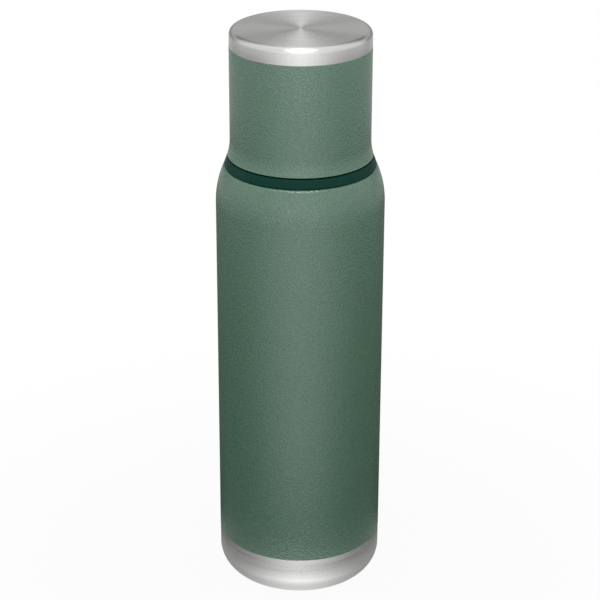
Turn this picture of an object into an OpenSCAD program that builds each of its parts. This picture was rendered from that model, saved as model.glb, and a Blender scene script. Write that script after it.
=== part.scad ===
// One-litre vacuum flask: double-walled steel bottle, screw-in pour stopper
// and an insulated screw-on cup that closes over them.
// Millimetres, +Z up, origin at the middle of the base on the table.

/* [Body] */
// Outside diameter of the body
body_d = 90; // [80:0.5:110]
// Height of the straight wall, from the table to the shoulder
body_h = 221.2; // [150:0.1:300]
// Thickness of the outer steel wall
shell_t = 0.6; // [0.5:0.05:0.9]
// Radius of the rounded shoulder
shoulder_r = 50; // [30:1:80]
// How far the shoulder draws in to the collar
shoulder_in = 4.4; // [3:0.05:8]
// Radius of the shoulder's upper edge, under the collar
shoulder_edge = 2; // [1:0.1:5]
// Height of the bare steel base
base_h = 25.3; // [22:0.1:40]
// Radius of the rounded bottom edge
base_round = 13.5; // [8:0.5:16]
// Thickness of the coat on the coloured parts
coat_t = 0.1; // [0.05:0.05:0.2]
// Length of the sleeve that laps a welded seam on each side
lap_l = 4; // [2:0.5:6]

/* [Underside] */
// Diameter of the recess in the underside
recess_d = 54; // [48:1:58]
// Depth of the recess in the underside
recess_h = 3; // [2:0.1:5]
// Diameter of the dimple round the vacuum port
dimple_d = 16; // [12:1:18]
// Depth of the dimple above the recess
dimple_h = 2; // [1.8:0.1:3]
// Diameter of the vacuum port
port_d = 2.4; // [1.6:0.1:4]
// Diameter of the braze bead that closes the port
bead_d = 6; // [5:0.5:8]
// Height of the braze bead
bead_h = 1.5; // [1:0.1:1.7]
// Thickness of the disc that covers the port
disc_t = 0.8; // [0.5:0.1:1.5]

/* [Inner vessel] */
// Vacuum gap between the two walls
vacuum_gap = 3.9; // [3:0.1:6]
// Thickness of the inner steel wall
vessel_t = 0.5; // [0.4:0.05:0.8]
// Vacuum gap under the inner vessel
floor_gap = 5.7; // [4:0.1:12]
// Inside radius of the inner vessel's bottom corner
floor_round = 10; // [5:0.5:16]
// Width of the rolled lip at the mouth
lip_w = 5; // [4:0.1:6]
// Height of the steel neck above the shoulder
neck_h = 17.2; // [16:0.1:24]
// Length of the straight mouth above the stopper's seat
mouth_l = 14.5; // [13.5:0.1:20]
// Width of the seat that the stopper's seal closes on
seat_w = 1.2; // [0.8:0.1:2]
// Height of the conical seat
seat_h = 6; // [4.5:0.1:8]
// Length of the straight throat under the seat
throat_l = 8.7; // [6:0.1:16]
// Thickness of the copper heat shield
shield_t = 0.3; // [0.1:0.05:0.6]
// Distance of the heat shield from the ends of the straight wall
shield_in = 6; // [2:0.5:20]

/* [Getter] */
// Diameter of the getter pellet
getter_d = 10; // [8:0.5:12]
// Thickness of the getter pellet
getter_t = 2; // [1.5:0.1:3]
// Distance of the getter from the flask's axis
getter_at = 17; // [16:0.5:19]
// Thickness of the getter's spring clip
clip_t = 0.5; // [0.3:0.1:0.7]
// Width of the getter's spring clip
clip_w = 5; // [3:0.5:8]

/* [Collar] */
// Height of the collar's visible band
band_h = 4.9; // [4.5:0.1:7]
// How far the band draws in to its top
band_in = 1.85; // [0.5:0.05:3]
// Wall of the hollow band
band_wall = 2.5; // [1.5:0.1:3.5]
// Gap between the shoulder and the band's outer wall
band_lift = 0.45; // [0.2:0.05:1]
// Wall of the collar under its thread
collar_wall = 2.9; // [2.2:0.1:4]
// Distance from the collar's top to the end of the steel neck
collar_short = 0.7; // [0.3:0.1:1.5]
// Width of the gasket in the collar's foot
gasket_w = 1.6; // [1:0.1:1.9]
// Height of the gasket in the collar's foot
gasket_h = 1.4; // [0.8:0.1:2]

/* [Cup] */
// Height of the cup, from its rim to its foot
cup_h = 68.15; // [66:0.05:100]
// Thickness of the cup's steel walls
cup_t = 0.5; // [0.4:0.05:0.7]
// How far the cup's rim lies inside the band
rim_in = 0.2; // [0:0.05:1]
// How far the rim flares out
flare = 1.29; // [0.3:0.01:1.6]
// Height over which the rim flares
flare_h = 8.9; // [6:0.1:14]
// Gap between the rim and the band
rim_gap = 0.9; // [0.3:0.1:1.5]
// Distance from the cup's outer wall to its thread
cup_wall_w = 2.7; // [2.2:0.1:4]
// Step from the cup's thread in to its bore
cup_step = 2.6; // [1.8:0.1:3.5]
// Height of the cup's rolled lip
cup_lip_h = 1.5; // [1.2:0.1:2]
// Height of the bare steel foot
cup_foot_h = 9.2; // [7.5:0.1:16]
// Radius of the foot's rounded edge
cup_foot_round = 3.1; // [1.5:0.1:4]
// Space between the cup's floor and its foot
cup_floor_gap = 5; // [3.5:0.1:8]
// Inside radius of the cup's bottom corner
cup_floor_round = 6; // [3:0.5:10]
// Thickness of the seal in the cup
cup_seal_t = 1; // [0.8:0.1:1.6]
// Width of the seal in the cup
cup_seal_w = 3.4; // [3:0.1:3.6]

/* [Stopper] */
// Height of the stopper's body above the steel neck
plug_up = 2; // [1:0.1:4]
// Thickness of the stopper's floor
plug_floor_t = 2; // [1.5:0.1:3]
// Wall between the pour channels and the hollow
plug_wall = 1.8; // [1.2:0.1:3]
// Depth of the pour channels
channel_depth = 2.4; // [1.5:0.1:3]
// Width of the pour channels
channel_w = 14; // [8:0.5:18]
// Gap between the knob and the mouth
knob_gap = 1; // [0.6:0.1:2]
// Height of the knob
knob_h = 11; // [10:0.5:14]
// Radius of the knob's rounded edge
knob_round = 1.5; // [0.8:0.1:2]
// Number of scallops round the knob
scallops = 12; // [8:1:16]
// Radius of a scallop
scallop_r = 4; // [3:0.5:6]
// Depth of a scallop
scallop_depth = 1; // [0.5:0.1:1.5]
// Depth of the two finger wells in the knob
well_h = 6.5; // [4:0.5:8]
// Width of the rim round the finger wells
well_rim = 4; // [3:0.1:6]
// Width of the grip bar between the finger wells
bar_w = 10; // [6:0.5:14]
// Height of the pour notches in the knob
notch_h = 3; // [2:0.1:3.5]
// Length of the cap's spigot inside the stopper
spigot_l = 4; // [2:0.5:6]
// Width of the stopper's seal
seal_w = 5.7; // [4:0.1:7]
// Thickness of the stopper's seal
seal_t = 2.9; // [2.4:0.1:3.4]
// Height of the seal's straight edge
seal_edge_h = 1.2; // [0.8:0.1:1.6]
// Gap between the disc that holds the seal and the throat
retainer_gap = 1.2; // [0.6:0.1:2]
// Thickness of the disc that holds the seal
retainer_t = 3.8; // [3:0.1:5]
// Diameter of the retainer's stub
stub_d = 16; // [10:0.5:24]

/* [Threads] */
// Starts of the cup's thread
cup_starts = 4; // [3:1:4]
// Rise of the cup in one turn
cup_lead = 18; // [16:0.5:20]
// Angle that each ridge of the cup's thread spans
cup_sweep = 95; // [60:5:100]
// Depth of the cup's thread
cup_ridge = 1.2; // [0.9:0.05:1.5]
// Starts of the stopper's thread
plug_starts = 2; // [1:1:2]
// Rise of the stopper in one turn
plug_lead = 8.5; // [8:0.1:10]
// Angle that each ridge of the stopper's thread spans
plug_sweep = 200; // [90:5:220]
// Depth of the stopper's thread
plug_ridge = 1.4; // [1:0.05:1.6]
// Width of a ridge at its root
ridge_root_w = 2; // [1.6:0.1:2.2]
// Width of a ridge at its crest
ridge_crest_w = 1; // [0.6:0.1:1.3]
// Distance of the fixed ridges from the end of their wall
ridge_in = 0.4; // [0.3:0.1:1]

/* [Clearances] */
// Clearance between the flanks of two ridges
flank_gap = 0.3; // [0.2:0.05:0.5]
// Clearance between a ridge's crest and the wall that it faces
crest_gap = 0.4; // [0.3:0.05:0.6]
// Clearance between a pressed piece and its seat
press_gap = 0.05; // [0.02:0.01:0.1]
// Clearance between a seal and the face that it closes on
seal_gap = 0.15; // [0.1:0.05:0.25]

/* [Hidden] */
$fn = 96;

// Colours
coat_green = [0.34, 0.45, 0.39];
dark_green = [0.05, 0.21, 0.18];
steel = [0.72, 0.72, 0.71];
copper = [0.72, 0.45, 0.32];
silicone = [0.12, 0.13, 0.13];
foam = [0.93, 0.92, 0.88];
pellet_grey = [0.4, 0.4, 0.42];

// Radii, from the body in to the stopper's hollow
body_r = body_d / 2;
bare_r = body_r - coat_t;
collar_r = body_r - shoulder_in;
band_top_r = collar_r - band_in;
cup_r = band_top_r - rim_in - flare;
cup_thread_r = cup_r - cup_wall_w;
cup_bore_r = cup_thread_r - cup_step;
collar_thread_r = cup_thread_r - cup_ridge - crest_gap;
neck_r = collar_thread_r - collar_wall - press_gap;
mouth_r = neck_r - lip_w;
plug_r = mouth_r - plug_ridge - crest_gap;
throat_r = plug_r - seat_w;
core_r = plug_r - channel_depth - plug_wall;
boss_r = plug_r - seal_w;
knob_r = mouth_r - knob_gap;
retainer_r = throat_r - retainer_gap;
vessel_r = body_r - shell_t - vacuum_gap - vessel_t;
recess_r = recess_d / 2;
dimple_r = dimple_d / 2;

// Levels of the bottle
plate_z = recess_h + shell_t;
floor_z = plate_z + dimple_h + floor_gap;
vessel_low_z = floor_z + vessel_t + floor_round;
collar_z = body_h + sqrt(shoulder_r ^ 2 - (shoulder_r - shoulder_in) ^ 2);
edge_z = collar_z - shoulder_edge;
edge_rise = (edge_z - body_h) / (shoulder_r - shoulder_edge);
edge_r = body_r - shoulder_r + (shoulder_r - shoulder_edge) * sqrt(1 - edge_rise ^ 2);
neck_top_z = collar_z + neck_h;
lip_r = lip_w / 2;
seat_top_z = neck_top_z - mouth_l;
seat_low_z = seat_top_z - seat_h;
dome_r = vessel_r - throat_r;
dome_z = seat_low_z - throat_l - dome_r;

// Levels of the collar and the cup
band_top_z = collar_z + band_h;
collar_top_z = neck_top_z - collar_short;
rim_z = band_top_z + rim_gap;
cup_top_z = rim_z + cup_h;
cup_foot_z = cup_top_z - cup_foot_h;
cup_floor_z = cup_top_z - cup_floor_gap - 2 * cup_t;
cup_seal_z = collar_top_z + seal_gap;
cup_step_z = cup_seal_z + cup_seal_t + press_gap;

// The rim's flare is an arc, and the rolled lip fills the wall inside it
flare_r = (flare_h ^ 2 + flare ^ 2) / (2 * flare);
rim_wall_r = cup_r - cup_t + flare_r - sqrt(flare_r ^ 2 - (flare_h - cup_lip_h) ^ 2);
cup_lip_r = (rim_wall_r - press_gap - cup_thread_r) / 2;
cup_lip_z = rim_z + cup_lip_h;

// Levels of the stopper, whose seal hangs just above its seat
seat_slope = (mouth_r - throat_r) / seat_h;
seal_inset = seal_gap * sqrt(1 + seat_slope ^ 2);
seal_edge_z = seat_low_z + (seat_w + seal_inset) / seat_slope;
seal_top_z = seal_edge_z + seal_edge_h;
seal_low_z = seal_top_z - seal_t;
plug_low_z = seal_top_z + press_gap;
plug_top_z = neck_top_z + plug_up;
core_z = plug_low_z + plug_floor_t;
knob_top_z = plug_top_z + knob_h;
retainer_z = seal_low_z - press_gap - retainer_t;

// Threads: the fixed ridge lies above the turning one, a flank gap apart
ridge_fall = (ridge_root_w + ridge_crest_w) / 2 + flank_gap;
collar_ridge_z = collar_top_z - ridge_in - ridge_root_w / 2 - cup_lead * cup_sweep / 360;
neck_ridge_z = neck_top_z - ridge_in - ridge_root_w / 2 - plug_lead * plug_sweep / 360;
ridge_sink = 0.25;
ridge_step = 7.5;
ridge_fade = 3;
ridge_stub = 0.1;

// Small edges, and how far a cutter runs past what it cuts
edge = 0.3;
past = 1;

// A rectangle of the half section, from one radius and height to another
module band(r0, r1, z0, z1) {
    translate([r0, z0]) square([r1 - r0, z1 - z0]);
}

// A round corner of the half section, on the outside of a radius and above or below a level
module corner(r, z, round_r, z0, z1) {
    intersection() {
        translate([r, z]) circle(round_r);
        band(0, r + round_r, z0, z1);
    }
}

// One helical ridge on a wall of radius root_r, faded out at both ends
module ridge(root_r, crest_r, z, lead, sweep) {
    side = sign(crest_r - root_r);
    steps = ceil(sweep / ridge_step);
    foot_r = root_r - side * ridge_sink;
    function fade(i) = max(ridge_stub, min(1, i / ridge_fade, (steps - i) / ridge_fade));
    function at(r, i, up) =
        let (a = sweep * i / steps)
        [r * cos(a), r * sin(a), z + lead * a / 360 + side * up];
    points = [
        for (i = [0:steps])
            let (top_r = root_r + fade(i) * (crest_r - root_r))
            each [
                at(foot_r, i, -ridge_root_w / 2), at(top_r, i, -ridge_crest_w / 2),
                at(top_r, i, ridge_crest_w / 2), at(foot_r, i, ridge_root_w / 2)
            ]
    ];
    end = 4 * steps;
    faces = [
        [0, 2, 1], [0, 3, 2],
        [end, end + 1, end + 2], [end, end + 2, end + 3],
        for (i = [0:steps - 1], j = [0:3])
            let (a = 4 * i + j, b = 4 * i + (j + 1) % 4)
            each [[a, b, b + 4], [a, b + 4, a + 4]]
    ];
    polyhedron(points, faces);
}

// All the ridges of a thread
module thread(root_r, crest_r, z, lead, sweep, starts) {
    for (k = [0:starts - 1])
        rotate(360 * k / starts) ridge(root_r, crest_r, z, lead, sweep);
}

// Outline of the bottle's outer wall, drawn in by an inset
module shell_outline(inset, low) {
    turn_z = body_h + edge_rise * (shoulder_r - inset);
    band(0, body_r - inset, low, body_h);
    intersection() {
        translate([body_r - shoulder_r, body_h]) circle(shoulder_r - inset);
        band(0, body_r, body_h, turn_z);
    }
    band(0, edge_r, body_h, collar_z - inset);
    corner(edge_r, edge_z, shoulder_edge - inset, edge_z, collar_z - inset);
}

module outer_shell() {
    color(coat_green) rotate_extrude() difference() {
        union() {
            shell_outline(0, base_h);
            band(0, neck_r, body_h, neck_top_z);
        }
        shell_outline(shell_t, base_h - past);
        band(0, neck_r - shell_t, body_h, neck_top_z + past);
    }
}

// Outline of the steel base, drawn in by an inset
module base_outline(inset, high) {
    flat_r = bare_r - base_round;
    band(0, bare_r - inset, base_round, high);
    band(0, flat_r, inset, base_round);
    corner(flat_r, base_round, base_round - inset, 0, base_round);
}

module base_cup() {
    color(steel) rotate_extrude() {
        difference() {
            base_outline(0, base_h);
            difference() {
                base_outline(shell_t, base_h + past);
                band(0, recess_r + shell_t, 0, plate_z);
                band(0, dimple_r + shell_t, 0, plate_z + dimple_h);
            }
            band(0, recess_r, -past, recess_h);
            band(0, dimple_r, -past, recess_h + dimple_h);
            band(0, port_d / 2, -past, base_h);
        }
        band(body_r - 2 * shell_t, body_r - shell_t, base_h - lap_l, base_h + lap_l);
    }
}

module base_disc() {
    color(steel) translate([0, 0, recess_h - disc_t])
        cylinder(h = disc_t, r = recess_r - press_gap);
}

module seal_bead() {
    bead_z = recess_h + dimple_h;
    ball_r = ((bead_d / 2) ^ 2 + bead_h ^ 2) / (2 * bead_h);
    color(pellet_grey) rotate_extrude() {
        intersection() {
            translate([0, bead_z - bead_h + ball_r]) circle(ball_r);
            band(0, bead_d / 2, bead_z - bead_h, bead_z);
        }
        band(0, port_d / 2, bead_z - bead_h / 2, bead_z + shell_t);
    }
}

// Outline of the inner vessel's hollow, grown by a wall
module vessel_outline(wall, low, high) {
    lean = wall * sqrt(1 + seat_slope ^ 2);
    dome_top_z = dome_z + dome_r + wall;
    band(0, vessel_r + wall, low, dome_z);
    band(0, throat_r, dome_z, dome_top_z);
    corner(throat_r, dome_z, dome_r + wall, dome_z, dome_top_z);
    band(0, throat_r + wall, dome_z, seat_low_z);
    polygon([
        [0, seat_low_z], [throat_r + lean, seat_low_z],
        [mouth_r + lean, seat_top_z], [0, seat_top_z]
    ]);
    band(0, mouth_r + wall, seat_top_z, high);
}

module inner_vessel() {
    lip_at = [mouth_r + lip_r, neck_top_z];
    color(steel) {
        rotate_extrude() {
            difference() {
                vessel_outline(vessel_t, vessel_low_z, neck_top_z);
                vessel_outline(0, vessel_low_z - past, neck_top_z + past);
            }
            difference() {
                translate(lip_at) circle(lip_r);
                translate(lip_at) circle(lip_r - vessel_t);
                band(0, body_r, lip_at.y - lip_w, lip_at.y);
            }
        }
        thread(mouth_r, mouth_r - plug_ridge, neck_ridge_z, plug_lead, plug_sweep, plug_starts);
    }
}

// Outline of the inner vessel's bottom, grown by a wall
module bottom_outline(wall) {
    flat_r = vessel_r - floor_round;
    band(0, flat_r, vessel_low_z - floor_round - wall, vessel_low_z);
    corner(flat_r, vessel_low_z, floor_round + wall, floor_z, vessel_low_z);
}

module inner_bottom() {
    color(steel) rotate_extrude() difference() {
        bottom_outline(vessel_t);
        bottom_outline(0);
    }
}

module heat_shield() {
    inner_r = vessel_r + vessel_t;
    color(copper) rotate_extrude()
        band(inner_r, inner_r + shield_t, vessel_low_z + shield_in, dome_z - shield_in);
}

module getter() {
    color(pellet_grey) translate([getter_at, 0, plate_z + clip_t])
        cylinder(h = getter_t, d = getter_d);
}

module getter_clip() {
    span = getter_d + 2 * press_gap;
    color(steel) translate([getter_at, -clip_w / 2, plate_z]) {
        translate([-span / 2 - clip_t, 0, 0]) cube([span + 2 * clip_t, clip_w, clip_t]);
        for (x = [-span / 2 - clip_t, span / 2])
            translate([x, 0, 0]) cube([clip_t, clip_w, clip_t + getter_t]);
    }
}

module neck_collar() {
    bore_r = neck_r + press_gap;
    color(dark_green) {
        rotate_extrude() difference() {
            polygon([
                [bore_r, collar_z], [collar_r, collar_z],
                [band_top_r, band_top_z - edge], [band_top_r - edge, band_top_z],
                [collar_thread_r, band_top_z], [collar_thread_r, collar_top_z - edge],
                [collar_thread_r - edge, collar_top_z], [bore_r, collar_top_z]
            ]);
            band(collar_thread_r, band_top_r - band_wall, collar_z - past, band_top_z - band_wall);
            band(collar_thread_r, collar_r + past, collar_z - past, collar_z + band_lift);
            band(0, bore_r + gasket_w, collar_z - past, collar_z + gasket_h);
        }
        thread(
            collar_thread_r, collar_thread_r + cup_ridge, collar_ridge_z,
            cup_lead, cup_sweep, cup_starts
        );
    }
}

module collar_gasket() {
    inner_r = neck_r + press_gap;
    color(silicone) rotate_extrude()
        band(inner_r, inner_r + gasket_w - press_gap, collar_z, collar_z + gasket_h - press_gap);
}

// Cutter for the two pour channels, which let drink out and air in
module pour_channels(low, high) {
    for (turn = [0, 180])
        rotate(turn) translate([plug_r - channel_depth, -channel_w / 2, low])
            cube([mouth_r, channel_w, high - low]);
}

module stopper_body() {
    color(dark_green) difference() {
        union() {
            rotate_extrude() {
                band(0, plug_r, plug_low_z, plug_top_z);
                band(0, boss_r, seal_low_z, plug_low_z);
            }
            thread(
                plug_r, plug_r + plug_ridge, neck_ridge_z - ridge_fall,
                plug_lead, plug_sweep, plug_starts
            );
        }
        translate([0, 0, core_z]) cylinder(h = plug_top_z, r = core_r);
        translate([0, 0, seal_low_z - past]) cylinder(h = plug_low_z - seal_low_z + past, d = stub_d);
        pour_channels(plug_low_z - past, plug_top_z + past);
    }
}

module stopper_cap() {
    round_r = knob_r - knob_round;
    round_z = knob_top_z - knob_round;
    color(dark_green) difference() {
        rotate_extrude() {
            band(0, knob_r, plug_top_z, round_z);
            band(0, round_r, plug_top_z, knob_top_z);
            corner(round_r, round_z, knob_round, round_z, knob_top_z);
            band(0, core_r - press_gap, plug_top_z - spigot_l, plug_top_z);
        }
        for (k = [0:scallops - 1])
            rotate(360 * (k + 0.5) / scallops)
                translate([knob_r + scallop_r - scallop_depth, 0, plug_top_z - past])
                    cylinder(h = knob_h + 2 * past, r = scallop_r);
        difference() {
            translate([0, 0, knob_top_z - well_h]) cylinder(h = knob_h, r = knob_r - well_rim);
            translate([-knob_r, -bar_w / 2, plug_top_z]) cube([2 * knob_r, bar_w, knob_h]);
        }
        pour_channels(plug_top_z - press_gap, plug_top_z + notch_h);
    }
}

module stopper_core() {
    color(foam) translate([0, 0, core_z])
        cylinder(h = plug_top_z - spigot_l - core_z, r = core_r - press_gap);
}

module stopper_retainer() {
    round_r = retainer_r - knob_round;
    round_z = retainer_z + knob_round;
    color(dark_green) rotate_extrude() {
        band(0, retainer_r, round_z, retainer_z + retainer_t);
        band(0, round_r, retainer_z, retainer_z + retainer_t);
        corner(round_r, round_z, knob_round, retainer_z, round_z);
        band(0, stub_d / 2 - press_gap, retainer_z, plug_low_z - press_gap);
    }
}

module stopper_seal() {
    low_r = plug_r - seat_slope * (seal_edge_z - seal_low_z);
    inner_r = boss_r + press_gap;
    color(silicone) rotate_extrude() polygon([
        [inner_r, seal_low_z], [low_r, seal_low_z],
        [plug_r, seal_edge_z], [plug_r, seal_top_z], [inner_r, seal_top_z]
    ]);
}

// Outline of the cup's outer wall, drawn in by an inset and flared at the rim
module cup_outline(inset, low, high) {
    difference() {
        band(0, cup_r + flare - inset, low, high);
        translate([cup_r - inset + flare_r, rim_z + flare_h]) circle(flare_r);
        band(cup_r - inset, cup_r + flare, rim_z + flare_h, high + past);
    }
}

module cup_shell() {
    color(coat_green) rotate_extrude() difference() {
        cup_outline(0, rim_z, cup_foot_z);
        cup_outline(cup_t, rim_z - past, cup_foot_z + past);
    }
}

// Outline of the cup's steel foot, drawn in by an inset
module foot_outline(inset, low) {
    r = cup_r - coat_t;
    round_z = cup_top_z - cup_foot_round;
    band(0, r - inset, low, round_z);
    band(0, r - cup_foot_round, low, cup_top_z - inset);
    corner(r - cup_foot_round, round_z, cup_foot_round - inset, round_z, cup_top_z);
}

module cup_foot() {
    color(steel) rotate_extrude() {
        difference() {
            foot_outline(0, cup_foot_z);
            foot_outline(cup_t, cup_foot_z - past);
        }
        band(cup_r - 2 * cup_t, cup_r - cup_t, cup_foot_z - lap_l, cup_foot_z + lap_l);
    }
}

// Outline of the cup's hollow, grown by a wall
module cup_hollow(wall, low) {
    flat_r = cup_bore_r - cup_floor_round;
    round_z = cup_floor_z - cup_floor_round;
    band(0, cup_thread_r + wall, low, cup_step_z + wall);
    band(0, cup_bore_r + wall, cup_step_z, round_z);
    band(0, flat_r, cup_step_z, cup_floor_z + wall);
    corner(flat_r, round_z, cup_floor_round + wall, round_z, cup_floor_z + wall);
}

module cup_liner() {
    lip_at = [cup_thread_r + cup_lip_r, cup_lip_z];
    color(steel) {
        rotate_extrude() {
            difference() {
                cup_hollow(cup_t, cup_lip_z);
                cup_hollow(0, cup_lip_z - past);
            }
            difference() {
                translate(lip_at) circle(cup_lip_r);
                translate(lip_at) circle(cup_lip_r - cup_t);
                band(0, body_r, cup_lip_z, cup_top_z);
            }
        }
        thread(
            cup_thread_r, cup_thread_r - cup_ridge, collar_ridge_z - ridge_fall,
            cup_lead, cup_sweep, cup_starts
        );
    }
}

module cup_seal() {
    outer_r = cup_thread_r - seal_gap;
    color(silicone) rotate_extrude()
        band(outer_r - cup_seal_w, outer_r, cup_seal_z, cup_seal_z + cup_seal_t);
}

outer_shell();
base_cup();
base_disc();
seal_bead();
inner_vessel();
inner_bottom();
heat_shield();
getter();
getter_clip();
neck_collar();
collar_gasket();
stopper_body();
stopper_cap();
stopper_core();
stopper_retainer();
stopper_seal();
cup_shell();
cup_foot();
cup_liner();
cup_seal();
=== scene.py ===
import functools
import math

import bmesh
import bpy
from bpy.props import FloatProperty, FloatVectorProperty, PointerProperty
from bpy.types import Operator, Panel, PropertyGroup
from mathutils import Matrix, Vector


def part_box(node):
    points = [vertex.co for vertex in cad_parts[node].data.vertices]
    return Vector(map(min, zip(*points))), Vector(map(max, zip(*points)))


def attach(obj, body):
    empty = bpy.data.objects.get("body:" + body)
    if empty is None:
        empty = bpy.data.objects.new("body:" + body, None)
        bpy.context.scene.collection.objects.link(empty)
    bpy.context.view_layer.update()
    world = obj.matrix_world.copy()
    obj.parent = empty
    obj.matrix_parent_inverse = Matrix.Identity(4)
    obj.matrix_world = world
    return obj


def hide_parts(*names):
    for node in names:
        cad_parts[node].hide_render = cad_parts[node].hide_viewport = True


bl_info = {
    "name": "Vacuum flask",
    "version": (1, 0, 0),
    "blender": (4, 5, 0),
    "location": "3D View > Sidebar > Flask",
    "description": "Dresses the packed vacuum flask and sets up its studio",
    "category": "Object",
}

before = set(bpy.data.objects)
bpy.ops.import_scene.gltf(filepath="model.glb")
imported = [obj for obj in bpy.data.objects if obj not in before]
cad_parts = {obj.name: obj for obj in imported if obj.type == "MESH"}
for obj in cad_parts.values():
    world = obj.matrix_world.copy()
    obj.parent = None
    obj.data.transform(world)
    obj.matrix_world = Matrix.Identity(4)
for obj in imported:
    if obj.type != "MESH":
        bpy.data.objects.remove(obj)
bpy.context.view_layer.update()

QUARTER = math.pi / 2
FULL_TURN = 2 * math.pi

# How finely the pieces are made
SPIN_STEPS = 192
ARC_STEPS = 12
FINE_ARC_STEPS = 24
ROUND_STEPS = 3
SHARP_ANGLE = math.radians(34)
SMOOTH_ANGLE = math.radians(40)
FLAT_ANGLE = math.radians(0.5)
WELD = 1e-7
CAD_WELD = 1e-6
# Rings across the cup's flat end, as parts of its radius
FOOT_RINGS = (0.75, 0.5, 0.25, 0)

# Threads: how far a ridge sinks into its wall, the gap between two flanks at rest, how a ridge
# fades at its ends, and the turn and number of the ridges on the mouth and on the collar
RIDGE_STEP = math.radians(4)
RIDGE_SINK = 0.25e-3
FLANK_GAP = 0.3e-3
FADE_STEPS = 6
FADE_LEAST = 0.1
MOUTH_SWEEP, MOUTH_STARTS = math.radians(200), 2
COLLAR_SWEEP, COLLAR_STARTS = math.radians(95), 4

# Span in which most of a noise lies, and most of the hammered relief
NOISE_SPAN = (0.3, 0.7)
RELIEF_SPAN = (0.3, 0.9)

WHITE = (1, 1, 1, 1)
SENSOR_WIDTH = 36

# The softbox is a nest of ever wider lamps, each with a part of the power and of the full size
LAMPS = ((0.2, 0.45), (0.37, 0.7), (0.43, 0.95))
LAMP_SIZE = (0.95, 0.6)
LAMP_PLACE = Vector((0, -0.66, 1.32))
LAMP_AIM = Vector((0, 0, 0.16))
LAMP_SPACING = 0.01

# How bright mirrors see the floor, by the distance from the axis. Each row is a smooth ramp, with
# the two places where it starts and ends and the two values there; the rows of a table add up.
FLOOR_RADIUS = 8
# The front's glow dips just beyond the flask's foot (second row): a painted shadow of the flask, as
# mirrors see it.
FLOOR_FRONT = (
    (0.05, 0.06, 0.95, 1.95), (0.063, 0.076, 0.0, -1.53), (0.085, 0.15, 0.0, 0.55),
    (0.2, 0.6, 0.0, 0.24), (0.6, 0.72, 0.0, 0.26), (0.88, 1.05, 0.0, -0.55),
)
FLOOR_SIDE = ((0.065, 0.085, 0.26, 0.0), (0.2, 1.0, 0.13, 0.42), (0.68, 0.85, 0.0, 0.28))
# The part of the side's brightness that is left straight behind the flask
FLOOR_BEHIND = ((0.1, 0.18, 0.3, 0.75), (0.4, 0.75, 0.0, -0.33), (0.68, 0.85, 0.0, 0.4))
# How tightly the front's brightness keeps to the front
FLOOR_FOCUS = ((0.08, 0.3, 7.5, 4.0), (0.68, 0.85, 0.0, 2.5))
# The part of the floor's look to the camera that is plain white
FLOOR_WHITE = ((0.05, 0.35, 0.95, 1.0),)

# How bright mirrors see the room, by the height of a direction, in rows as above
ROOM_FRONT = ((0.05, 0.13, 2.7, 1.2),)
ROOM_SIDE = ((0.0, 0.2, 0.9, 1.0),)
ROOM_FOCUS = 9.0
BACKDROP = ((0.04, 0.16, 0.04, 0.53), (0.38, 0.5, 0.0, -0.34))
SLIT = ((0.3, 0.5, 0.0, 0.8),)
SCRIM = 1.2

# Where one of these gives way to the next, as parts of a direction's own length
FLOOR_BEHIND_SPAN = (0.2, 0.85)
BACKDROP_SPAN = (0.3, 0.7)
SLIT_SPAN = (0.1, 0.02)
SCRIM_SPAN = (0.75, 0.92)


@functools.cache
def corners(node):
    """Lowest and highest corner of a CAD node"""
    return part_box(node)


def low(node):
    """Lowest corner of a CAD node"""
    return corners(node)[0]


def high(node):
    """Highest corner of a CAD node"""
    return corners(node)[1]


def length(name, description, default):
    """A size that a user may change"""
    return FloatProperty(
        name=name, description=description, default=default, unit="LENGTH",
        subtype="DISTANCE", precision=5, min=0,
    )


def share(name, description, default):
    """A share from nothing to all"""
    return FloatProperty(
        name=name, description=description, default=default, subtype="FACTOR", min=0, max=1,
    )


def colour(name, description, default):
    """A colour that a user may change"""
    return FloatVectorProperty(
        name=name, description=description, default=default, subtype="COLOR", size=3,
        min=0, max=1,
    )


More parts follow.
